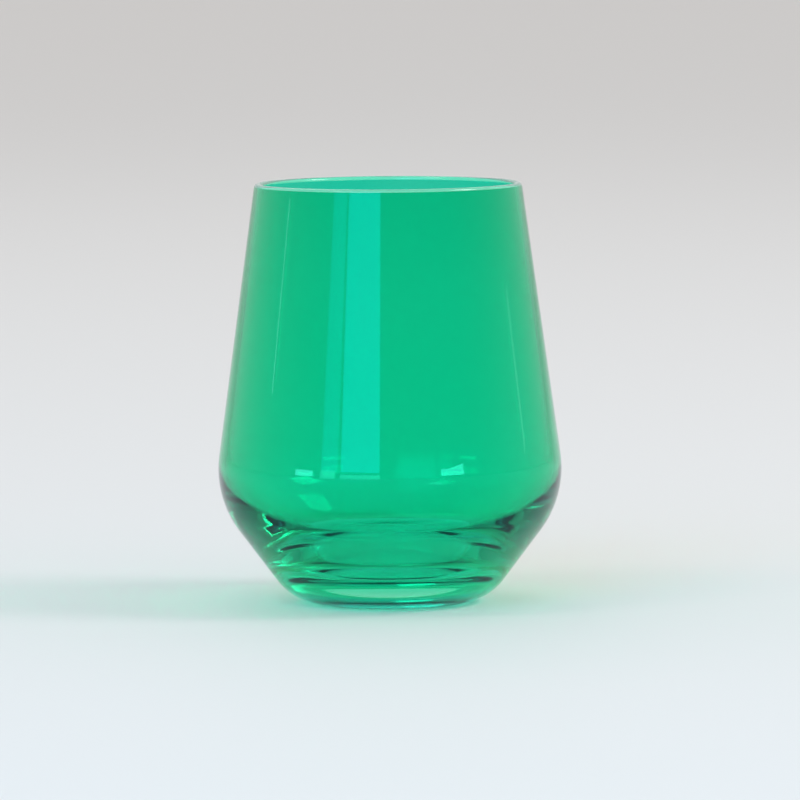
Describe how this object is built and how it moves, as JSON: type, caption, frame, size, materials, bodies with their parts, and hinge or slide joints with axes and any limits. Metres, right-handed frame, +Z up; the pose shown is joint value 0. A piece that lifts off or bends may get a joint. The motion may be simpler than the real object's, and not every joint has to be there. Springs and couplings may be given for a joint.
{
  "type": "stemless wine glass",
  "caption": "Stemless wine glass: a leaning wall over a round shoulder and a conical heavy foot, in clear glass with a transparent green coat outside.",
  "frame": {"origin": "centre of the ring that the glass stands on, at the height of the table", "axes": "+Z up along the axis of revolution; X and Y are any two directions across it"},
  "size_m": [0.0884, 0.0884, 0.108],
  "materials": {
    "clear_glass": "clear soda-lime glass, pressed and fire polished, fully smooth",
    "green_lacquer": "transparent emerald green lacquer sprayed on the outside and baked, glossy"
  },
  "bodies": {
    "root": {"glass_body": "clear_glass", "colour_coat": "green_lacquer"}
  },
  "joints": []
}
